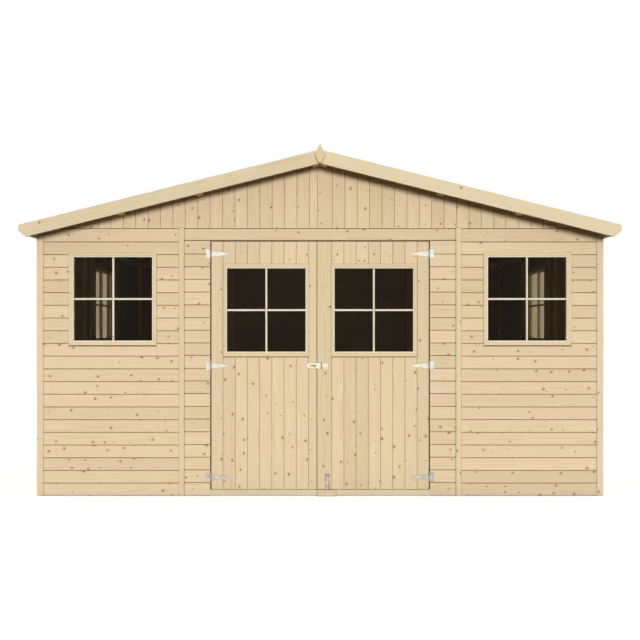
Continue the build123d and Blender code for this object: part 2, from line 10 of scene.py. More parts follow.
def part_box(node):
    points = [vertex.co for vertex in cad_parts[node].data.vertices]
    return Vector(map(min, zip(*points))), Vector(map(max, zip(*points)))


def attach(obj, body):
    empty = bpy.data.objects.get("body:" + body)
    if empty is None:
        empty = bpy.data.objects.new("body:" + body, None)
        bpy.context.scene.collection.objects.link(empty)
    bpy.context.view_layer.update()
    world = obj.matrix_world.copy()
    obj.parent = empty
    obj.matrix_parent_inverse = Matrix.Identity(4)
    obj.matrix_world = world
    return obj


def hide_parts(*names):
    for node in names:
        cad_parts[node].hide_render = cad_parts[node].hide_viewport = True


# A timber garden shed: boarded walls on battens, a pitched boarded roof on
# purlins, four windows and a pair of glazed doors hung on tee hinges.
# Metres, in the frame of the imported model: the front faces -Y, +X is its right.
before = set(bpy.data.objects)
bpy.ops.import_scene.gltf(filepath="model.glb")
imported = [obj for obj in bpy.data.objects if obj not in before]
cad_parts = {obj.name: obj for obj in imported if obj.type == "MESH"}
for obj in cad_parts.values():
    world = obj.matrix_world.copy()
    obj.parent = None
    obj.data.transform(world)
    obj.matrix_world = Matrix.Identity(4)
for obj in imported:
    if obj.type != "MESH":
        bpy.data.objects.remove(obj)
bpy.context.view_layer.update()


# ---- wall framing ----------------------------------------------------------
# Sawn pine battens with the arrises just taken off: rails at the foot and top
# of each panel, studs between them, posts and a sill round the doorway, sloping
# battens in the gables. All of it is butt jointed and nailed.
mm = 0.001
chance = random.Random(23)


def colour(red, green, blue):
    """A colour from its three everyday 0-255 values, as shaders take it."""
    shares = [value / 255 for value in (red, green, blue)]
    return [s / 12.92 if s < 0.04045 else ((s + 0.055) / 1.055) ** 2.4 for s in shares] + [1.0]


class Finish:
    """A material in the making: its shader, with short ways to add nodes and wire them."""

    def __init__(self, name, **sockets):
        self.material = bpy.data.materials.new(name)
        self.material.use_nodes = True
        self.tree = self.material.node_tree
        self.shader = self.tree.nodes["Principled BSDF"]
        self.wire(self.shader, {key.replace("_", " "): value for key, value in sockets.items()})

    def wire(self, node, inputs):
        """Sets a node's inputs, from numbers or from other nodes' outputs."""
        for key, value in inputs.items():
            if isinstance(value, bpy.types.NodeSocket):
                self.tree.links.new(value, node.inputs[key])
            else:
                node.inputs[key].default_value = value

    def add(self, kind, inputs, **settings):
        """A new node with its settings made and its inputs wired."""
        node = self.tree.nodes.new("ShaderNode" + kind)
        for key, value in settings.items():
            setattr(node, key, value)
        self.wire(node, inputs)
        return node

    def calc(self, operation, *values):
        """One step of arithmetic on numbers or outputs."""
        node = self.add("Math", dict(enumerate(values)), operation=operation)
        return node.outputs[0]

    def noise(self, place, scale, detail=2.0, distortion=0.0):
        """Soft random patches, from 0 to 1."""
        inputs = {"Vector": place, "Scale": scale, "Detail": detail, "Distortion": distortion}
        return self.add("TexNoise", inputs).outputs[0]

    def stretch(self, place, scale):
        """A place multiplied by a scale, so that what is drawn there gets longer or shorter."""
        return self.add("VectorMath", {0: place, 1: scale}, operation="MULTIPLY").outputs[0]

    def fade(self, value, start, end, low=0.0, high=1.0):
        """From low to high, smoothly, as the value goes from start to end."""
        inputs = {"Value": value, "From Min": start, "From Max": end, "To Min": low, "To Max": high}
        return self.add("MapRange", inputs, interpolation_type="SMOOTHSTEP").outputs[0]

    def mix(self, share, first, second, blend="MIX"):
        """Two colours mixed: a share of the second laid over the first."""
        node = self.add("Mix", {}, data_type="RGBA", blend_type=blend)
        sockets = (node.inputs[0], node.inputs[6], node.inputs[7])
        for socket, value in zip(sockets, (share, first, second)):
            if isinstance(value, bpy.types.NodeSocket):
                self.tree.links.new(value, socket)
            else:
                socket.default_value = value
        return node.outputs[2]

    def stored(self, name):
        """A value that each point of the mesh carries."""
        return self.add("Attribute", {}, attribute_name=name).outputs["Vector"]

    def relief(self, height, depth, strength=1.0):
        """Small bumps and furrows, as deep as depth says."""
        bump = self.add("Bump", {"Height": height, "Distance": depth, "Strength": strength})
        self.wire(self.shader, {"Normal": bump.outputs[0]})


rough_back = (0.64, 0.60, 0.53, 1.0)     # how much duller the unplaned back of a board is
crevice_shade_tint = (0.43, 0.29, 0.12, 1.0)   # painted shade, with some dust, where other surfaces are close: joints, corners, recesses
crevice_reach = 11 * mm
arris_highlight_tint = (1.05, 1.05, 1.06, 1.0)      # the arrises made paler: a painted highlight, and wear
arris_highlight_reach = 5 * mm
year_ring = 4.2 * mm
ring_wander = 30 * mm        # how far the rings stray from round
ring_bulge = 8 * mm          # and how far they go round a knot
least_knot, largest_knot = 1.8 * mm, 5.5 * mm
around_knot = colour(196, 152, 96)
knot_rim = colour(134, 104, 66)
knot_heart = colour(160, 126, 84)


def pine(name, pale, late, knot_spacing, knot_share, fuzz):
    """Pine cut from a log: year rings, fibres and knots, placed by each board's own grain.

    late is the colour of the summer wood between the rings. knot_share is how many
    of the cells, knot_spacing wide, hold a knot. fuzz is how rough the saw or plane left it.
    The joints and close corners are darker, as painted shade with some dust; the arrises are paler, as
    a painted highlight and wear.
    """
    wood = Finish(name, Specular_IOR_Level=0.12)
    grain = wood.stored("grain")
    tone = wood.add("SeparateXYZ", {0: wood.stored("tone")}).outputs
    wander = wood.noise(wood.stretch(grain, (1.1, 9.0, 9.0)), 1.0)
    nudge = wood.add("TexNoise", {"Vector": grain, "Scale": 60.0, "Detail": 1.0}).outputs[1]
    shifted = wood.add("VectorMath", {0: nudge, 1: (0.006,) * 3, 2: grain}, operation="MULTIPLY_ADD")
    cells = {"Vector": wood.stretch(shifted.outputs[0], (0.8, 1.0, 1.0)), "Scale": 1 / knot_spacing}
    knots = wood.add("TexVoronoi", cells, voronoi_dimensions="2D")
    from_knot = wood.calc("MULTIPLY", knots.outputs["Distance"], knot_spacing)
    luck = wood.add("SeparateColor", {0: knots.outputs["Color"]}).outputs
    here = wood.calc("LESS_THAN", luck[1], knot_share)
    size = wood.fade(luck[0], 0.0, 1.0, least_knot, largest_knot)
    edge = wood.calc("MULTIPLY", size, 1.35)
    heart = wood.calc("MULTIPLY", wood.fade(from_knot, size, edge, 1.0, 0.0), here)
    rim_foot = wood.calc("MULTIPLY", size, 0.9)
    rim = wood.calc("MULTIPLY", wood.fade(from_knot, edge, rim_foot, 0.0, 1.0), here)
    reach = wood.calc("MULTIPLY", size, 4.0)
    near = wood.calc("MULTIPLY", wood.fade(from_knot, size, reach, 1.0, 0.0), here)
    across = wood.add("SeparateXYZ", {0: grain}).outputs
    squares = wood.calc("ADD", wood.calc("POWER", across[1], 2.0), wood.calc("POWER", across[2], 2.0))
    radius = wood.calc("MULTIPLY_ADD", wander, ring_wander, wood.calc("SQRT", squares))
    round_knots = wood.calc("MULTIPLY_ADD", near, ring_bulge, radius)
    year = wood.calc("FRACT", wood.calc("DIVIDE", round_knots, year_ring))
    summer = wood.calc("MULTIPLY", wood.fade(year, 0.25, 0.85), wood.fade(year, 1.0, 0.88))
    fibre = wood.noise(wood.stretch(grain, (6.0, 420.0, 420.0)), 1.0)
    drift = wood.noise(wood.stretch(grain, (1.6, 14.0, 14.0)), 1.0, 3.0)
    deepness = wood.calc("MULTIPLY_ADD", summer, 0.36, wood.calc("MULTIPLY", fibre, 0.30))
    body = wood.mix(wood.calc("MULTIPLY_ADD", drift, 0.30, deepness), pale, late)
    warmer = wood.mix(wood.fade(tone[1], 0.0, 1.0), (0.985, 1.0, 0.94, 1.0), (1.005, 0.99, 0.975, 1.0))
    tinted = wood.mix(1.0, body, warmer, "MULTIPLY")
    darker = wood.mix(wood.fade(tone[0], 0.0, 1.0), (0.945, 0.94, 0.925, 1.0), (1.02, 1.02, 1.015, 1.0))
    dressed = wood.mix(1.0, tinted, darker, "MULTIPLY")
    unplaned = wood.mix(1.0, dressed, rough_back, "MULTIPLY")
    board = wood.mix(wood.fade(tone[2], 0.75, 0.95), dressed, unplaned)
    resin = wood.mix(wood.calc("MULTIPLY", near, 0.22), board, around_knot)
    knotted = wood.mix(wood.calc("MULTIPLY", rim, 0.9), resin, knot_rim)
    clean = wood.mix(wood.calc("MULTIPLY", heart, 0.5), knotted, knot_heart)
    # Paler arrises: a painted highlight, and wear.
    close_by = {"Distance": arris_highlight_reach}
    within = wood.add("AmbientOcclusion", close_by, samples=4, inside=True, only_local=True)
    arris_lightened = wood.mix(1.0, clean, arris_highlight_tint, "MULTIPLY")
    with_arris_highlight = wood.mix(wood.fade(within.outputs["AO"], 0.95, 0.45), clean, arris_lightened)
    # Painted shade, with some dust, where other surfaces are close.
    around = wood.add("AmbientOcclusion", {"Distance": crevice_reach}, samples=6).outputs["AO"]
    shaded = wood.mix(1.0, with_arris_highlight, crevice_shade_tint, "MULTIPLY")
    wood.wire(wood.shader, {"Base Color": wood.mix(wood.fade(around, 0.30, 0.95), shaded, with_arris_highlight)})
    roughness = wood.fade(fibre, 0.2, 0.8, 0.5 + 0.2 * fuzz, 0.68 + 0.3 * fuzz)
    wood.wire(wood.shader, {"Roughness": roughness})
    furrows = wood.calc("MULTIPLY_ADD", fibre, 0.5 + fuzz, wood.calc("MULTIPLY", summer, 0.35))
    wood.relief(wood.calc("MULTIPLY_ADD", heart, 0.6, furrows), (0.25 + 0.5 * fuzz) * mm)
    return wood.material


sharp_angle = radians(40)    # a corner sharper than this is an arris
flat_angle = radians(1)      # faces that meet flatter than this are one face
weld = 0.01 * mm             # corners closer together than this are one corner


def new_piece(name, bm, material):
    """Makes a named piece with one finish from what has been built."""
    bmesh.ops.recalc_face_normals(bm, faces=bm.faces)
    mesh = bpy.data.meshes.new(name)
    bm.to_mesh(mesh)
    bm.free()
    mesh.materials.append(material)
    mesh.shade_smooth()
    mesh.set_sharp_from_angle(angle=sharp_angle)
    piece = bpy.data.objects.new(name, mesh)
    bpy.context.scene.collection.objects.link(piece)
    piece.modifiers.new("flat_faces", "WEIGHTED_NORMAL").keep_sharp = True
    return piece


def eased(name, node, ease, material):
    """A CAD node as it leaves the bench: flat faces, with the sharp arrises rounded over."""
    bm = bmesh.new()
    bm.from_mesh(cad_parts[node].data)
    bmesh.ops.remove_doubles(bm, verts=bm.verts, dist=weld)
    bmesh.ops.dissolve_limit(bm, angle_limit=flat_angle, verts=bm.verts, edges=bm.edges)
    arrises = [e for e in bm.edges if e.is_manifold and e.calc_face_angle() > sharp_angle]
    bmesh.ops.bevel(bm, geom=arrises, offset=ease, segments=2, profile=0.5,
                    affect="EDGES", clamp_overlap=True)
    return new_piece(name, bm, material)


def read(items, name, width=1, kind=float):
    """One value of each vertex, edge or face of a mesh, as an array."""
    values = np.empty(len(items) * width, kind)
    items.foreach_get(name, values)
    return values.reshape(-1, width) if width > 1 else values


def loose_parts(mesh):
    """For each vertex, the number of the separate board or bar that it belongs to."""
    edges = read(mesh.edges, "vertices", 2, int)
    part = np.arange(len(mesh.vertices))
    while True:
        least = np.minimum(part[edges[:, 0]], part[edges[:, 1]])
        joined = part.copy()
        np.minimum.at(joined, edges[:, 0], least)
        np.minimum.at(joined, edges[:, 1], least)
        joined = joined[joined]
        if (joined == part).all():
            return part
        part = joined


def lay_grain(piece, along=None, rough_side=None):
    """Stores each board's own place in a log, as (along, across, through), and its own tone.

    The grain runs along the longest edge of a board unless along says which way. The last
    number of the tone goes from 0 at the planed face to 1 at the side that is left unplaned.
    """
    mesh = piece.data
    points = read(mesh.vertices, "co", 3)
    edges = read(mesh.edges, "vertices", 2, int)
    spans = points[edges[:, 1]] - points[edges[:, 0]]
    lengths = np.linalg.norm(spans, axis=1)
    normals = read(mesh.polygons, "normal", 3)
    areas = read(mesh.polygons, "area")
    firsts = read(mesh.loops, "vertex_index", 1, int)[read(mesh.polygons, "loop_start", 1, int)]
    part = loose_parts(mesh)
    grain = np.zeros_like(points)
    tone = np.zeros_like(points)
    for number in np.unique(part):
        mine = part == number
        own_edges = np.flatnonzero(part[edges[:, 0]] == number)
        own_faces = np.flatnonzero(part[firsts] == number)
        run = np.array(along, float) if along else spans[own_edges[lengths[own_edges].argmax()]]
        run /= np.linalg.norm(run)
        facing = np.abs(normals[own_faces] @ run) < 0.5
        out = normals[own_faces[(areas[own_faces] * facing).argmax()]]
        out = out - run * (out @ run)
        out /= np.linalg.norm(out)
        centre = points[mine].mean(axis=0)
        local = points[mine] - centre
        pith = (chance.uniform(-50, 50), chance.uniform(-0.045, 0.045), chance.uniform(0.03, 0.10))
        axes = np.stack([run, np.cross(out, run), out], axis=1)
        grain[mine] = local @ axes + pith
        tone[mine] = [chance.random(), chance.random(), 0.0]
        if rough_side:
            depth = local @ np.array(rough_side, float)
            tone[mine, 2] = (depth - depth.min()) / np.ptp(depth)
    for name, values in (("grain", grain), ("tone", tone)):
        layer = mesh.attributes.new(name, "FLOAT_VECTOR", "POINT")
        layer.data.foreach_set("vector", values.astype(np.float32).ravel())


def fit(piece, body, slot, *nodes):
    """Fixes a piece to its body, in place of the CAD nodes that it is made after."""
    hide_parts(*nodes)
    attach(piece, body)


sawn_pine = pine("sawn_pine", colour(228, 204, 168), colour(206, 176, 132),
                 knot_spacing=150 * mm, knot_share=0.45, fuzz=0.8)
timber_arris = 1.5 * mm
for node in (
    "front_wall_battens",
    "back_wall_battens",
    "side_wall_battens",
    "gable_battens",
    "door_posts",
):
    timber = eased(node + "_timber", node, timber_arris, sawn_pine)
    lay_grain(timber)
    fit(timber, "shed", "framing_timber", node)


# ---- wall cladding -----------------------------------------------------------
# Planed pine boards, tongued and grooved, with a V along each joint. They lie
# level with the tongue up, nailed to the battens panel by panel, and the window
# openings are sawn out afterwards.
planed_pine = pine("planed_pine", colour(239, 219, 189), colour(222, 196, 157),
                   knot_spacing=88 * mm, knot_share=0.58, fuzz=0.0)
wall_face = -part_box("front_wall_left")[0].y
wall_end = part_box("front_wall_right")[1].x
wall_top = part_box("front_wall_right")[1].z
panel_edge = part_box("front_wall_right")[0].x
board_thickness = wall_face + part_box("front_wall_left")[1].y
row = 88 * mm                # from one level joint to the next
least_board = 20 * mm        # a narrower strip is left on the last board
head_board_rise = 4.7 * mm   # the board over the doors starts this much above its CAD node
beside_rise = 3.5 * mm       # the boards beside the doors end this much above theirs
beside_shift = 3.9 * mm      # and their joints are this much higher than the other panels'
door_post = 45 * mm          # width of the batten that the doors hang on
open_joint = (3.0 * mm, 3.6 * mm, 1.5 * mm)  # width and depth of each bevel, and the gap
close_joint = (2.1 * mm, 2.4 * mm, 0.7 * mm)
back_arris = 1.3 * mm
tongue_length = 6 * mm
tongue_half = 2.4 * mm
groove_length = 7 * mm
groove_half = 2.8 * mm


def mill(bm, outline, ends, upright=False):
    """Adds one straight length: an outline of (across, depth) points, carried from end to end."""
    rings = []
    for end in ends:
        ring = [(across, depth, end) if upright else (end, depth, across) for across, depth in outline]
        rings.append([bm.verts.new(place) for place in ring])
    for k in range(len(outline)):
        bm.faces.new((rings[0][k - 1], rings[0][k], rings[1][k], rings[1][k - 1]))
    for ring in rings:
        bm.faces.new(ring)


def board_outline(low, high, face, back, joint, grooved, tongued):
    """A board seen from its end; its face is at depth face, and it fills low to high."""
    bevel, bevel_depth, gap = joint
    foot = low + gap / 2 * grooved
    head = high - gap / 2 * tongued
    inward = 1 if back > face else -1
    middle = (face + back) / 2
    lip = back - back_arris * inward
    points = [(foot + back_arris, back), (foot, lip)]
    if grooved:
        deep = foot + groove_length
        near, far = middle + groove_half * inward, middle - groove_half * inward
        points += [(foot, near), (deep, near), (deep, far), (foot, far)]
    points += [(foot, face + bevel_depth * inward), (foot + bevel, face)]
    points += [(head - bevel, face), (head, face + bevel_depth * inward)]
    if tongued:
        tip = head + tongue_length
        near, far = middle - tongue_half * inward, middle + tongue_half * inward
        points += [(head, near), (tip, near + mm * inward), (tip, far - mm * inward), (head, far)]
    return points + [(head, lip), (head - back_arris, back)]


def lay_boards(bm, lines, ends, face, back, joint, upright=False):
    """Boards side by side between joint lines; the first has no groove, the last no tongue."""
    for k in range(len(lines) - 1):
        outline = board_outline(lines[k], lines[k + 1], face, back, joint, k > 0, k < len(lines) - 2)
        mill(bm, outline, ends, upright)


def level_lines(top, start=0.0):
    """Heights of the level joints from the ground to the top of a panel."""
    count = int((top - least_board - start) / row)
    return [0.0] + [start + row * k for k in range(1, count + 1)] + [top]


def block(bm, low, high):
    """Adds a square block between two corners."""
    size = Vector(high) - Vector(low)
    middle = (Vector(high) + Vector(low)) / 2
    bmesh.ops.create_cube(bm, size=1, matrix=Matrix.LocRotScale(middle, None, size))


def saw(piece, saw_mesh, operation):
    """Cuts a piece with a closed shape: takes the shape away, or keeps only what is in it."""
    tool = bpy.data.objects.new("saw", saw_mesh)
    bpy.context.scene.collection.objects.link(tool)
    cut = piece.modifiers.new("cut", "BOOLEAN")
    cut.operation, cut.solver, cut.object = operation, "EXACT", tool
    whole = piece.data
    ready = piece.evaluated_get(bpy.context.evaluated_depsgraph_get())
    piece.data = bpy.data.meshes.new_from_object(ready)
    piece.modifiers.remove(cut)
    piece.data.name = piece.name
    bpy.data.objects.remove(tool)
    for mesh in (whole, saw_mesh):
        bpy.data.meshes.remove(mesh)


def saw_opening(piece, low, high):
    """Saws a square opening right through a boarded panel."""
    bm = bmesh.new()
    block(bm, low, high)
    opening = bpy.data.meshes.new("opening")
    bm.to_mesh(opening)
    bm.free()
    saw(piece, opening, "DIFFERENCE")


opening_play = 0.3 * mm
wall_foot_rise = 2.5 * mm    # how much higher than its CAD node a window in the walls starts
door_foot_rise = 1.5 * mm    # and one in the doors
wall_foot_gap = 8.5 * mm     # shadow gap under each of them
door_foot_gap = 5.5 * mm
head_cover = 9 * mm          # a window in the walls reaches over the joint above it
side_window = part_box("side_window_frames")
front_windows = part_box("front_window_frames")
window_width = side_window[1].y - side_window[0].y
window_levels = (front_windows[0].z + wall_foot_rise, front_windows[1].z + head_cover)
front_window_x = (front_windows[1].x - window_width, front_windows[1].x)
side_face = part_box("right_wall")[1].x
side_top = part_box("right_wall")[1].z
side_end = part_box("right_wall")[1].y
side_panel_half = 530 * mm
hairline = 0.15 * mm         # from a panel's edge to the line where two panels meet
saw_reach = 100 * mm         # how far the opening is sawn in front of the boards and behind


def window_opening(piece, span, levels, face, foot_gap):
    """The opening for one window, a little larger than its frame."""
    low = (span[0] - opening_play, -face - saw_reach, levels[0] - foot_gap)
    high = (span[1] + opening_play, -face + saw_reach, levels[1] + opening_play)
    saw_opening(piece, low, high)


def level_panels(name, spans, lines, face, window=None):
    """Panels of level boards side by side in one wall, drawn as if it were the front."""
    bm = bmesh.new()
    for span in spans:
        lay_boards(bm, lines, span, -face, -face + board_thickness, open_joint)
    piece = new_piece(name, bm, planed_pine)
    if window:
        window_opening(piece, window, window_levels, face, wall_foot_gap)
    lay_grain(piece, along=(1, 0, 0), rough_side=(0, 1, 0))
    return piece


def stand(piece, quarter_turns):
    """Turns a wall drawn as the front to another side: 1 is the right, 2 the back, 3 the left."""
    piece.data.transform(Matrix.Rotation(quarter_turns * pi / 2, 4, "Z"))
    return piece


right_span = (panel_edge, wall_end)
left_span = (-wall_end, -panel_edge)
right_window = front_window_x
left_window = (-front_window_x[1], -front_window_x[0])
lines = level_lines(wall_top)
fit(level_panels("front_left_boards", [left_span], lines, wall_face, left_window),
    "shed", "cladding_boards", "front_wall_left")
fit(level_panels("front_right_boards", [right_span], lines, wall_face, right_window),
    "shed", "cladding_boards", "front_wall_right")

beside_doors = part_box("front_wall_beside_doors")
doorway_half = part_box("door_posts")[1].x - door_post
spans = [(-beside_doors[1].x, -doorway_half), (doorway_half, beside_doors[1].x)]
lines_beside = level_lines(beside_doors[1].z + beside_rise, beside_shift)
fit(level_panels("boards_beside_doors", spans, lines_beside, wall_face),
    "shed", "cladding_boards", "front_wall_beside_doors")

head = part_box("door_head_board")
head_span = (head[0].x, head[1].x)
head_lines = [head[0].z + head_board_rise, head[1].z]
fit(level_panels("board_over_doors", [head_span], head_lines, wall_face),
    "shed", "cladding_boards", "door_head_board")

middle_span = (-panel_edge + 2 * hairline, panel_edge - 2 * hairline)
back = level_panels("back_boards", [left_span, middle_span, right_span], lines, wall_face)
fit(stand(back, 2), "shed", "cladding_boards", "back_wall")

side_joint = side_panel_half + hairline
side_spans = [(-side_end, -side_joint), (-side_panel_half + hairline, side_panel_half - hairline),
              (side_joint, side_end)]
side_window_span = (side_window[0].y, side_window[1].y)
sides = (("right_side_boards", "right_wall", 1), ("left_side_boards", "left_wall", 3))
for name, node, turns in sides:
    side = level_panels(name, side_spans, level_lines(side_top), side_face, side_window_span)
    fit(stand(side, turns), "shed", "cladding_boards", node)


# ---- gable cladding ----------------------------------------------------------
# The same boards stood upright over the wall panels, sawn to the slope of the
# roof and notched round the purlins. The two middle boards are unequal, because
# the joint follows the line where the doors meet.
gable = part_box("front_gable")
upright_pitch = 86 * mm
first_left, first_right = 74 * mm, 85.5 * mm
middle_joint = -19 * mm
foot_gap = 1.5 * mm          # the gable boards stand this much clear of the wall below
head_waste = 50 * mm         # what the boards have over before they are sawn to the slope


def upright_lines(half_width):
    """Places of the upright joints, from the left end of a gable to the right."""
    count = int((half_width - first_right - least_board) / upright_pitch) + 1
    left = [-first_left - upright_pitch * k for k in reversed(range(count))]
    right = [first_right + upright_pitch * k for k in range(count)]
    return [-half_width] + left + [middle_joint] + right + [half_width]


def keep_inside(piece, node):
    """Saws a boarded piece to the outline of a CAD node that stands in the XZ plane."""
    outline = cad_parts[node].data.copy()
    low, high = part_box(node)
    middle = (low.y + high.y) / 2
    deeper = Matrix.Diagonal((1, 3, 1, 1))
    outline.transform(Matrix.Translation((0, middle, 0)) @ deeper @ Matrix.Translation((0, -middle, 0)))
    saw(piece, outline, "INTERSECT")


gables = (("front_gable_boards", "front_gable", 0), ("back_gable_boards", "back_gable", 2))
for name, node, turns in gables:
    bm = bmesh.new()
    ends = (gable[0].z + foot_gap, gable[1].z + head_waste)
    edge = gable[1].x
    lay_boards(bm, upright_lines(edge), ends, gable[0].y, gable[1].y, close_joint, upright=True)
    gable_boards = new_piece(name, bm, planed_pine)
    keep_inside(gable_boards, "front_gable")
    lay_grain(gable_boards, along=(0, 0, 1), rough_side=(0, 1, 0))
    fit(stand(gable_boards, turns), "shed", "cladding_boards", node)


# ---- corner strips, cover strips and sill --------------------------------------
# Planed pine: an angle over each corner of the walls, a flat strip over each joint
# between panels, pinned through the boards, and the sill that the doors close on.
trim_pine = pine("trim_pine", colour(238, 221, 193), colour(221, 197, 160),
                 knot_spacing=170 * mm, knot_share=0.40, fuzz=0.0)
trim_arris = 1.5 * mm
strip_arris = 1.2 * mm
strip_rise = 4 * mm          # the cover strips reach over the foot of the gable
strip_sink = 5 * mm          # how much less the corner strips stand out in front and behind
strips_and_sill = (
    ("corner_strips", trim_arris, planed_pine, "trim_boards"),
    ("cover_strips", strip_arris, trim_pine, "trim_boards"),
    ("door_sill", strip_arris, trim_pine, "framing_timber"),
)
for node, ease, wood, slot in strips_and_sill:
    strips = eased(node + "_planed", node, ease, wood)
    if node == "cover_strips":
        for vertex in strips.data.vertices:
            vertex.co.z += strip_rise * (vertex.co.z > wall_top / 2)
    if node == "corner_strips":
        for vertex in strips.data.vertices:
            if abs(vertex.co.y) > wall_face + strip_sink:
                vertex.co.y -= strip_sink if vertex.co.y > 0 else -strip_sink
    lay_grain(strips)
    fit(strips, "shed", slot, node)


# ---- windows -------------------------------------------------------------------
# Each window is a frame of four mitred members with a bevel towards the glass,
# one pane let into a groove, and a cross of pale glazing bars on both faces of it.
joinery_pine = pine("joinery_pine", colour(238, 218, 189), colour(223, 198, 160),
                    knot_spacing=260 * mm, knot_share=0.30, fuzz=0.0)
bar_pine = pine("pale_bars", colour(255, 249, 230), colour(249, 238, 212),
                knot_spacing=400 * mm, knot_share=0.10, fuzz=0.0)
arris = 1.2 * mm
inner_bevel = 3 * mm
glass_setback = 24 * mm
glass_bed = 0.3 * mm         # putty line at each face of the glass
glass_thickness = 4 * mm
wall_widths = (27.5 * mm, 24 * mm, 26 * mm, 20.5 * mm)    # outer side, inner side, foot, head
side_wall_widths = (26 * mm, 26 * mm, 26 * mm, 20.5 * mm)
mitre_gap = 0.2 * mm
bead = 6.5 * mm              # pale bead round the glass, on both faces of it
bead_front = 2.5 * mm        # face of the frame to the face of the bead
bar_width = 15 * mm
bar_drop = 1 * mm            # the level bar sits this much below the middle
bar_nose = 10 * mm
bar_front = 9 * mm           # face of the frame to the nose of a bar
bar_back = 12 * mm           # glass to the nose of a bar on the room side
bar_foot = 4 * mm            # the part of a bar by the glass that doesn't taper
bar_arris = 0.6 * mm
bar_play = 0.3 * mm
bead_arris = 1 * mm


def frame_section(depth):
    """A frame member seen from its end: (edge it is measured from, distance from it, depth)."""
    return [
        ("outer", 0, arris),
        ("outer", arris, 0),
        ("inner", inner_bevel, 0),
        ("inner", 0, inner_bevel),
        ("inner", 0, depth - arris),
        ("inner", arris, depth),
        ("outer", arris, depth),
        ("outer", 0, depth - arris),
    ]


def bead_section(face, glass):
    """A bead seen from its end, square but for the arris that shows beside the glass."""
    toward = bead_arris if glass > face else -bead_arris
    return [
        ("outer", 0, face),
        ("inner", bead_arris, face),
        ("inner", 0, face + toward),
        ("inner", 0, glass),
        ("outer", 0, glass),
    ]


def corners_at(outer, inner, edge, distance):
    """Corners of the frame's rectangle at a distance from its outer or inner edge."""
    (x0, x1, z0, z1) = outer if edge == "outer" else inner
    d = -distance if edge == "outer" else distance
    return [(x0 - d, z0 - d), (x1 + d, z0 - d), (x1 + d, z1 + d), (x0 - d, z1 + d)]


def mitred_frame(bm, outer, inner, face, section):
    """Four members, each from mitre to mitre, with a hairline between them."""
    for side in range(4):
        rings = ([], [])
        for edge, distance, deep in section:
            corners = corners_at(outer, inner, edge, distance)
            start, end = Vector(corners[side]), Vector(corners[(side + 1) % 4])
            run = (end - start).normalized() * mitre_gap
            for ring, spot in zip(rings, (start + run, end - run)):
                ring.append(bm.verts.new((spot.x, face + deep, spot.y)))
        for k in range(len(rings[0])):
            bm.faces.new((rings[0][k - 1], rings[0][k], rings[1][k], rings[1][k - 1]))
        for ring in rings:
            bm.faces.new(ring)


def bar_outline(middle, nose, glass):
    """A glazing bar from its end: wide at the glass, tapering to a narrow nose."""
    toward = 1 if glass > nose else -1
    half, tip = bar_width / 2, bar_nose / 2
    step = bar_foot * toward
    return [
        (middle - half, glass),
        (middle - half, glass - step),
        (middle - tip, nose + bar_arris * toward),
        (middle - tip + bar_arris, nose),
        (middle + tip - bar_arris, nose),
        (middle + tip, nose + bar_arris * toward),
        (middle + half, glass - step),
        (middle + half, glass),
    ]


def inside(rectangle, margin):
    """A rectangle (left, right, foot, head) with a margin taken off all round."""
    x0, x1, z0, z1 = rectangle
    return (x0 + margin, x1 - margin, z0 + margin, z1 - margin)


def glazing_bars(bm, opening, face):
    """The beads, the upright bar and the two halves of the level one, on each face of the glass."""
    x0, x1, z0, z1 = inside(opening, bead)
    middle_x, middle_z = (x0 + x1) / 2, (z0 + z1) / 2 - bar_drop
    front = (face + bar_front, face + glass_setback - glass_bed)
    rear_glass = face + glass_setback + glass_thickness + glass_bed
    rear = (rear_glass + bar_back, rear_glass)
    bead_back = glass_setback + glass_thickness + glass_bed
    for section in (bead_section(bead_front, glass_setback - glass_bed),
                    bead_section(bead_back + bar_back, bead_back)):
        mitred_frame(bm, inside(opening, mitre_gap), (x0, x1, z0, z1), face, section)
    for nose, glass in (front, rear):
        mill(bm, bar_outline(middle_x, nose, glass), (z0 + bar_play, z1 - bar_play), upright=True)
        level = bar_outline(middle_z, nose, glass)
        mill(bm, level, (x0 + bar_play, middle_x - bar_width / 2 - bar_play))
        mill(bm, level, (middle_x + bar_width / 2 + bar_play, x1 - bar_play))


def window(name, spans, levels, widths, face, depth):
    """Frames of like windows side by side, and the bars in them, as two pieces.

    The outer side of a window is the one away from the middle of the shed.
    """
    outer_side, inner_side, foot, head = widths
    frames, bars = bmesh.new(), bmesh.new()
    for x0, x1 in spans:
        outer = (x0, x1, levels[0], levels[1])
        left, right = (outer_side, inner_side) if x0 + x1 < 0 else (inner_side, outer_side)
        opening = (x0 + left, x1 - right, levels[0] + foot, levels[1] - head)
        mitred_frame(frames, outer, opening, face, frame_section(depth))
        glazing_bars(bars, opening, face)
    made = (new_piece(name + "_frames", frames, joinery_pine),
            new_piece(name + "_bars", bars, bar_pine))
    for piece in made:
        lay_grain(piece)
    return made


def fit_window(made, body, node):
    """The frame stands for the CAD node; the bars are an extra piece on the same body."""
    fit(made[0], body, "window_joinery", node)
    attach(made[1], body)


frame_face = front_windows[0].y
frame_depth = front_windows[1].y - front_windows[0].y
front_made = window("front_windows", [left_window, right_window], window_levels, wall_widths,
                    frame_face, frame_depth)
fit_window(front_made, "shed", "front_window_frames")


def on_both_sides(piece):
    """Puts a piece drawn as if for the front into the right wall and the left one."""
    bm = bmesh.new()
    for turns in (1, 3):
        fresh = len(bm.verts)
        bm.from_mesh(piece.data)
        bm.verts.ensure_lookup_table()
        turn = Matrix.Rotation(turns * pi / 2, 3, "Z")
        bmesh.ops.rotate(bm, verts=bm.verts[fresh:], cent=(0, 0, 0), matrix=turn)
    bm.to_mesh(piece.data)
    bm.free()


side_frame_face = -side_window[1].x
side_made = window("side_windows", [side_window_span], window_levels, side_wall_widths,
                   side_frame_face, frame_depth)
for piece in side_made:
    on_both_sides(piece)
fit_window(side_made, "shed", "side_window_frames")

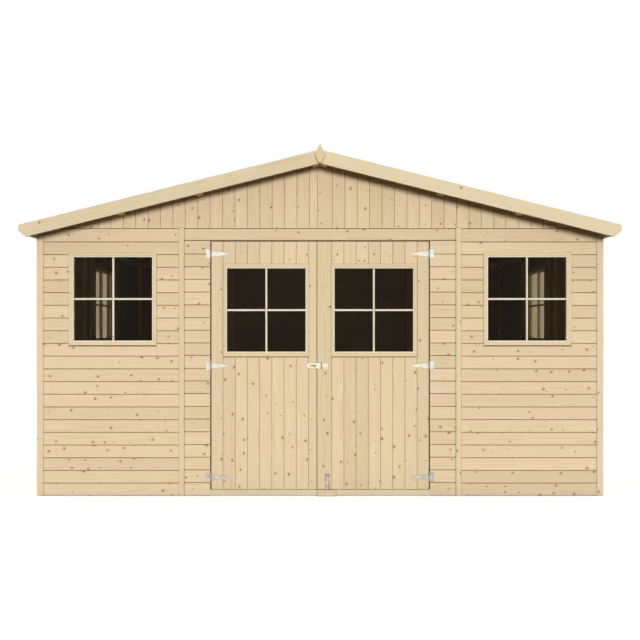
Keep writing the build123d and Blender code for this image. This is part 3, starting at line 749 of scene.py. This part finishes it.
glass = Finish("float_glass", Base_Color=colour(205, 196, 176), Transmission_Weight=1.0, IOR=1.15)
place = glass.add("TexCoord", {}).outputs["Object"]
smears = glass.noise(place, 9.0, 4.0, 0.6)
glass.wire(glass.shader, {"Roughness": glass.fade(smears, 0.45, 0.8, 0.0, 0.05)})
glass.relief(glass.noise(place, 3.0), 0.2 * mm, 0.2)
for node in ("front_window_glass", "side_window_glass", "left_door_glass", "right_door_glass"):
    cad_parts[node].data.materials.clear()
    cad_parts[node].data.materials.append(glass.material)


# ---- roof ------------------------------------------------------------------------
# Six square purlins run from gable to gable and carry boards that run down the
# slope, from the ridge to the eaves. A board on edge closes the eaves.
roof_pine = pine("roof_pine", colour(230, 207, 172), colour(208, 178, 136),
                 knot_spacing=150 * mm, knot_share=0.45, fuzz=0.4)
roof_board = 88 * mm
purlins = eased("purlins_timber", "purlins", timber_arris, sawn_pine)
lay_grain(purlins, along=(0, 1, 0))
fit(purlins, "shed", "framing_timber", "purlins")

deck_low, deck_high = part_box("roof_deck_right")
slope = radians(14)
deck_thickness = 18 * mm
deck_rise = deck_thickness / cos(slope)
under_ridge = deck_high.z - deck_rise


def roof_boards(name, side):
    """Boards from the ridge to the eaves, drawn flat and then laid on the slope."""
    length = deck_high.y - deck_low.y
    count = round(length / roof_board)
    lines = [deck_low.y + length * k / count for k in range(count + 1)]
    bm = bmesh.new()
    lay_boards(bm, lines, (side * deck_low.x, side * deck_high.x), 0.0, deck_thickness, close_joint)
    piece = new_piece(name, bm, roof_pine)
    lay_grain(piece, along=(1, 0, 0), rough_side=(0, -1, 0))
    for vertex in piece.data.vertices:
        x, depth, across = vertex.co
        underside = under_ridge - (abs(x) - deck_low.x) * tan(slope)
        vertex.co = (x, across, underside + depth / cos(slope))
    return piece


fit(roof_boards("roof_boards_right", 1), "shed", "roof_boards", "roof_deck_right")
fit(roof_boards("roof_boards_left", -1), "shed", "roof_boards", "roof_deck_left")


# ---- roof edges --------------------------------------------------------------------
# Planed boards along the eaves, a pair of bargeboards over each gable end of the
# roof with a plumb cut between them, and a kite-shaped finial over that cut.
eaves_drop = 23 * mm         # how much deeper the eaves boards are than their CAD node
eaves_rake = 90 * mm         # how far their ends are cut back at the foot, behind the bargeboards
rake_above_foot = 4 * mm     # where that cut starts
rake_play = 0.1 * mm
bargeboard_drop = 2.5 * mm   # the bargeboards sit this much below their CAD node
edge_boards = (
    ("eaves_boards", None),
    ("front_bargeboards", (0, 1, 0)),
    ("back_bargeboards", (0, -1, 0)),
)
for node, rough_side in edge_boards:
    edging = eased(node + "_planed", node, trim_arris, trim_pine)
    if node == "eaves_boards":
        rake_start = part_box(node)[0].z + rake_above_foot
        bm = bmesh.new()
        bm.from_mesh(edging.data)
        whole = bm.verts[:] + bm.edges[:] + bm.faces[:]
        bmesh.ops.bisect_plane(bm, geom=whole, plane_co=(0, 0, rake_start), plane_no=(0, 0, 1))
        for vertex in bm.verts:
            if vertex.co.z < rake_start - rake_play:
                vertex.co.z -= eaves_drop
                vertex.co.y -= eaves_rake if vertex.co.y > 0 else -eaves_rake
        bm.to_mesh(edging.data)
        bm.free()
        edging.data.set_sharp_from_angle(angle=sharp_angle)
    else:
        edging.data.transform(Matrix.Translation((0, 0, -bargeboard_drop)))
    lay_grain(edging, rough_side=rough_side)
    fit(edging, "shed", "trim_boards", node)
finials = eased("finials_planed", "finials", trim_arris, trim_pine)
lay_grain(finials, along=(0, 0, 1))
fit(finials, "shed", "trim_boards", "finials")


# ---- doors ---------------------------------------------------------------------------
# Two leaves of upright boards on a frame of stiles and rails, each with a window.
# The stile of the left leaf runs on behind the right one and stops the draught.
leaf_foot, leaf_top = (corner.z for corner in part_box("left_door_boards"))
top_rise = 4 * mm            # how far the boards of a leaf go past its CAD node: above it,
foot_drop = 2 * mm           # below it,
hinge_side_gain = 1.3 * mm   # beside it
meeting_gain = 1.2 * mm      # and where the leaves meet
leaf_pitch = 84.6 * mm       # from one upright joint to the next
leaf_first = 80.5 * mm       # middle of the doorway to the first of them
leaf_joints = 8
left_edge, left_meeting = (corner.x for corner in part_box("left_door_boards"))
right_meeting, right_edge = (corner.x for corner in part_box("right_door_boards"))
left_edge -= hinge_side_gain
left_meeting += meeting_gain
right_meeting -= meeting_gain
right_edge += hinge_side_gain
door_window_widths = (18.8 * mm, 16.8 * mm, 27.5 * mm, 22.5 * mm)   # as wall_widths
outer_lines = [leaf_first + leaf_pitch * k for k in range(leaf_joints)]
leaf_lines = {
    "left": [left_edge] + [-x for x in reversed(outer_lines)] + [left_meeting],
    "right": [right_meeting] + outer_lines + [right_edge],
}
for side in ("left", "right"):
    body = side + "_door"
    window_low, window_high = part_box(body + "_window")
    bm = bmesh.new()
    depths = (-wall_face, -wall_face + board_thickness)
    ends = (leaf_foot - foot_drop, leaf_top + top_rise)
    lay_boards(bm, leaf_lines[side], ends, *depths, close_joint, upright=True)
    boards = new_piece(body + "_planed_boards", bm, planed_pine)
    span, levels = (window_low.x, window_high.x), (window_low.z + door_foot_rise, window_high.z)
    window_opening(boards, span, levels, wall_face, door_foot_gap)
    lay_grain(boards, along=(0, 0, 1), rough_side=(0, 1, 0))
    fit(boards, body, "cladding_boards", body + "_boards")
    stiles = eased(body + "_stiles_and_rails", body + "_frame", timber_arris, sawn_pine)
    lay_grain(stiles)
    fit(stiles, body, "framing_timber", body + "_frame")
    made = window(body + "_window", [span], levels, door_window_widths,
                  window_low.y, window_high.y - window_low.y)
    fit_window(made, body, body + "_window")


# ---- door furniture --------------------------------------------------------------------
# Pressed steel, bright zinc plated: three tee hinges a leaf, a hasp that folds over
# a staple, and a tower bolt. All of it is screwed on with small cross-head screws.
close_shade_reach = 9 * mm


def zinc(name, bright, cloudy, duller_below):
    """Zinc plating: fine crystals, a cloudy bloom, and painted shade where another part is close.

    The last argument makes the plating duller toward the ground.
    """
    plating = Finish(name, Metallic=1.0)
    place = plating.add("TexCoord", {}).outputs["Object"]
    crystals = plating.add("TexVoronoi", {"Vector": place, "Scale": 260.0}).outputs["Color"]
    crystal = plating.add("SeparateColor", {0: crystals}).outputs[0]
    bloom = plating.noise(place, 35.0, 4.0, 0.4)
    plated = plating.mix(plating.fade(bloom, 0.35, 0.7), bright, cloudy)
    if duller_below:
        height = plating.add("SeparateXYZ", {0: place}).outputs[2]
        dull = plating.mix(plating.fade(bloom, 0.35, 0.7), colour(206, 200, 188), colour(186, 179, 168))
        plated = plating.mix(plating.fade(height, 1.25, 0.3), plated, dull)
    speckled = plating.mix(1.0, plated, (0.86, 0.86, 0.87, 1.0), "MULTIPLY")
    clean = plating.mix(plating.calc("MULTIPLY", crystal, 0.35), plated, speckled)
    # Painted shade where another part is close.
    close_shaded = plating.mix(1.0, clean, (0.40, 0.36, 0.30, 1.0), "MULTIPLY")
    around = plating.add("AmbientOcclusion", {"Distance": close_shade_reach}, samples=6).outputs["AO"]
    surface = plating.mix(plating.fade(around, 0.25, 0.95), close_shaded, clean)
    plating.wire(plating.shader, {"Base Color": surface})
    plating.wire(plating.shader, {"Roughness": plating.fade(bloom, 0.2, 0.8, 0.34, 0.52)})
    plating.relief(plating.calc("MULTIPLY_ADD", bloom, 0.5, crystal), 0.05 * mm)
    return plating.material


bright_zinc = zinc("bright_zinc", colour(253, 250, 238), colour(240, 236, 222), True)
hasp_zinc = zinc("hasp_zinc", colour(249, 236, 216), colour(228, 214, 192), False)
# Darker finish for the knuckles round the pins: painted shade, with some grease.
knuckle_shade_zinc = zinc("knuckle_shade_zinc", colour(186, 174, 158), colour(164, 152, 136), False)
bolt_zinc = zinc("bolt_zinc", colour(202, 185, 168), colour(184, 167, 150), False)
# Paler finish for the bolt's rod: a painted highlight, and zinc worn bright where it slides.
highlit_rod_zinc = zinc("highlit_rod_zinc", colour(238, 224, 214), colour(220, 206, 196), False)
# Dark finish for the staple that shows in the hasp's slot: painted shade.
shaded_staple_zinc = zinc("shaded_staple_zinc", colour(140, 128, 110), colour(118, 106, 90), False)
furniture = (
    ("hinge_plates", "shed", bright_zinc),
    ("left_door_straps", "left_door", bright_zinc),
    ("right_door_straps", "right_door", bright_zinc),
    ("hasp_staple", "left_door", shaded_staple_zinc),
    ("hasp_plate", "right_door", hasp_zinc),
    ("hasp_strap", "hasp", hasp_zinc),
    ("bolt_plate", "right_door", bolt_zinc),
    ("bolt_rod", "bolt", highlit_rod_zinc),
)
hinge_pin = 757 * mm         # middle of the doorway to the pins of the hinges
pin_radius = 3.5 * mm
pins = (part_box("hasp_plate")[0].x + pin_radius, hinge_pin)
knuckle_reach = 5 * mm
steel_arris = 0.4 * mm
for node, body, finish in furniture:
    steel = eased(node + "_zinc", node, steel_arris, finish)
    # Faces near a pin take the darker finish: painted shade on the knuckles, with some grease.
    steel.data.materials.append(knuckle_shade_zinc)
    for face in steel.data.polygons:
        from_pin = min(abs(abs(face.center.x) - pin) for pin in pins)
        face.material_index = int(from_pin < knuckle_reach)
    fit(steel, body, "zinc_plated_steel", node)

screw_head = 3.6 * mm        # radius
screw_rise = 1.6 * mm
screw_side = 0.7 * mm        # height of the upright part of the head
recess_arm, recess_half = 2.3 * mm, 0.6 * mm
recess_floor = 0.4 * mm


def screw(bm, x, z, face):
    """A pan-head screw with a cross recess, driven square into the front of a plate."""
    arm, half = recess_arm, recess_half
    cross = [(arm, -half), (arm, half), (half, half), (half, arm), (-half, arm), (-half, half),
             (-arm, half), (-arm, -half), (-half, -half), (-half, -arm), (half, -arm), (half, -half)]
    sides = len(cross)
    angles = [2 * pi * (k - 0.5) / sides for k in range(sides)]
    rings = []
    for radius, rise in ((screw_head, 0), (screw_head, screw_side), (0.8 * screw_head, screw_rise)):
        rings.append([(radius * cos(a), radius * sin(a), rise) for a in angles])
    rings.append([(u, v, screw_rise) for u, v in cross])
    rings.append([(0.8 * u, 0.8 * v, recess_floor) for u, v in cross])
    made = [[bm.verts.new((x + u, face - rise, z + v)) for u, v, rise in ring] for ring in rings]
    for lower, upper in zip(made, made[1:]):
        for k in range(sides):
            bm.faces.new((lower[k - 1], lower[k], upper[k], upper[k - 1]))
    bm.faces.new(made[0])
    bm.faces.new(made[-1])


hasp_level = (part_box("hasp_plate")[0].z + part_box("hasp_plate")[1].z) / 2
hinge_levels = (130 * mm, hasp_level, leaf_top - 81 * mm)    # the middle ones at the hasp's height
hinge_face = -wall_face - 2.5 * mm       # front of the hinges and the hasp's plate
bolt_face = -wall_face - 2.0 * mm
plate_screw_x = hinge_pin + 20 * mm
plate_screw_rises = (-22 * mm, 0, 22 * mm)
strap_screws = ((738 * mm, 9 * mm), (738 * mm, -9 * mm), (698 * mm, 0), (652 * mm, 0))
hasp_screw_x, hasp_screw_rises = (23 * mm, 46 * mm), (-12 * mm, 12 * mm)
bolt_screw_x, bolt_screw_z = (37 * mm, 63 * mm), (60 * mm, 146 * mm)
plate_screws, left_screws, right_screws = bmesh.new(), bmesh.new(), bmesh.new()
for level in hinge_levels:
    for rise in plate_screw_rises:
        screw(plate_screws, plate_screw_x, level + rise, hinge_face)
        screw(plate_screws, -plate_screw_x, level + rise, hinge_face)
    for x, rise in strap_screws:
        screw(right_screws, x, level + rise, hinge_face)
        screw(left_screws, -x, level + rise, hinge_face)
for x in hasp_screw_x:
    for rise in hasp_screw_rises:
        screw(right_screws, x, hasp_level + rise, hinge_face)
for x in bolt_screw_x:
    for z in bolt_screw_z:
        screw(right_screws, x, z, bolt_face)
sets_of_screws = (
    ("hinge_plate_screws", plate_screws, "shed"),
    ("left_strap_screws", left_screws, "left_door"),
    ("right_leaf_screws", right_screws, "right_door"),
)
for name, bm, body in sets_of_screws:
    screws = new_piece(name, bm, bright_zinc)
    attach(screws, body)

keeper = eased("bolt_keeper_block", "bolt_keeper", strip_arris, trim_pine)
lay_grain(keeper, along=(1, 0, 0))
fit(keeper, "shed", "framing_timber", "bolt_keeper")


# ---- studio ------------------------------------------------------------------------------
# A pale floor and a white surround. The key lamp shines low on the front, a little from
# the right; two soft ones shine down, and two fill in the sides and the back.
def path_share(tree, names):
    """1 for the rays that see the surround itself: from the lens, a gloss or a pane."""
    path = tree.nodes.new("ShaderNodeLightPath")
    total = path.outputs[names[0]]
    for name in names[1:]:
        add = tree.nodes.new("ShaderNodeMath")
        add.operation, add.use_clamp = "ADD", True
        tree.links.new(total, add.inputs[0])
        tree.links.new(path.outputs[name], add.inputs[1])
        total = add.outputs[0]
    return total


ambient = 0.02               # what the surround gives a matt surface
floor_lift = (0.50, 0.86)    # how much whiter than lit the floor looks, beside the shed and in front
lift_from, lift_to = -1.3, -wall_face - 0.3      # where it changes from one to the other
floor_seen = (0.60, 0.60, 0.60, 1)
floor_bounce = (0.05, 0.05, 0.05, 1)     # what it gives back to the walls is less than what shows
floor_indoors = (0.45, 0.45, 0.45, 1)
floor_half = 8               # metres from its middle to each edge
surround = bpy.data.worlds.new("surround")
surround.use_nodes = True
bpy.context.scene.world = surround
sky = surround.node_tree.nodes["Background"]
sky.inputs["Color"].default_value = (1, 1, 1, 1)
strength = surround.node_tree.nodes.new("ShaderNodeMapRange")
strength.inputs["To Min"].default_value = ambient
strength.inputs["To Max"].default_value = 1.0
seen = path_share(surround.node_tree, ("Is Camera Ray", "Is Glossy Ray", "Is Transmission Ray"))
surround.node_tree.links.new(seen, strength.inputs["Value"])
surround.node_tree.links.new(strength.outputs[0], sky.inputs["Strength"])

floor_finish = Finish("pale_floor", Emission_Color=(1, 1, 1, 1), Roughness=0.9, Specular_IOR_Level=0.0)
place = floor_finish.add("SeparateXYZ", {0: floor_finish.add("TexCoord", {}).outputs["Object"]}).outputs
beyond_side = floor_finish.calc("GREATER_THAN", floor_finish.calc("ABSOLUTE", place[0]), side_face)
beyond_front = floor_finish.calc("GREATER_THAN", floor_finish.calc("ABSOLUTE", place[1]), wall_face)
outdoors = floor_finish.calc("MAXIMUM", beyond_side, beyond_front)
watched = path_share(floor_finish.tree, ("Is Camera Ray", "Is Transmission Ray", "Is Glossy Ray"))
before = floor_finish.fade(place[1], lift_from, lift_to, *floor_lift)
lift = floor_finish.calc("MULTIPLY", floor_finish.calc("MULTIPLY", watched, outdoors), before)
floor_finish.wire(floor_finish.shader, {"Emission Strength": lift})
open_ground = floor_finish.mix(watched, floor_bounce, floor_seen)
ground = floor_finish.mix(outdoors, floor_indoors, open_ground)
floor_finish.wire(floor_finish.shader, {"Base Color": ground})
bm = bmesh.new()
bmesh.ops.create_grid(bm, x_segments=1, y_segments=1, size=floor_half)
floor = new_piece("floor", bm, floor_finish.material)


def soft_sun(name, power, spread, azimuth, elevation):
    """A distant lamp: azimuth 0 shines on the front, 90 on the right side."""
    lamp = bpy.data.lights.new(name, "SUN")
    lamp.energy, lamp.angle = power, radians(spread)
    sun = bpy.data.objects.new(name, lamp)
    sun.rotation_euler = (radians(90 - elevation), 0, radians(azimuth))
    sun.visible_transmission = False
    sun.visible_glossy = False
    bpy.context.scene.collection.objects.link(sun)


soft_sun("key", power=2.56, spread=15, azimuth=7.2, elevation=5.3)
soft_sun("top", power=0.5, spread=50, azimuth=0, elevation=45)
soft_sun("overhead", power=1.0, spread=40, azimuth=0, elevation=90)
soft_sun("fill_right", power=2.7, spread=50, azimuth=115, elevation=17)
soft_sun("fill_left", power=2.7, spread=50, azimuth=-115, elevation=17)

eye_distance = 7.130         # from the middle of the shed
eye_height = 1.160
lens = bpy.data.cameras.new("lens")
lens.lens, lens.sensor_width = 45.45, 36
lens.shift_x, lens.shift_y = -0.0001, 0.01330
camera = bpy.data.objects.new("camera", lens)
camera.location = (0, -eye_distance, eye_height)
camera.rotation_euler = (radians(90), 0, 0)
bpy.context.scene.collection.objects.link(camera)
bpy.context.scene.camera = camera
bpy.context.scene.view_settings.view_transform = "Standard"
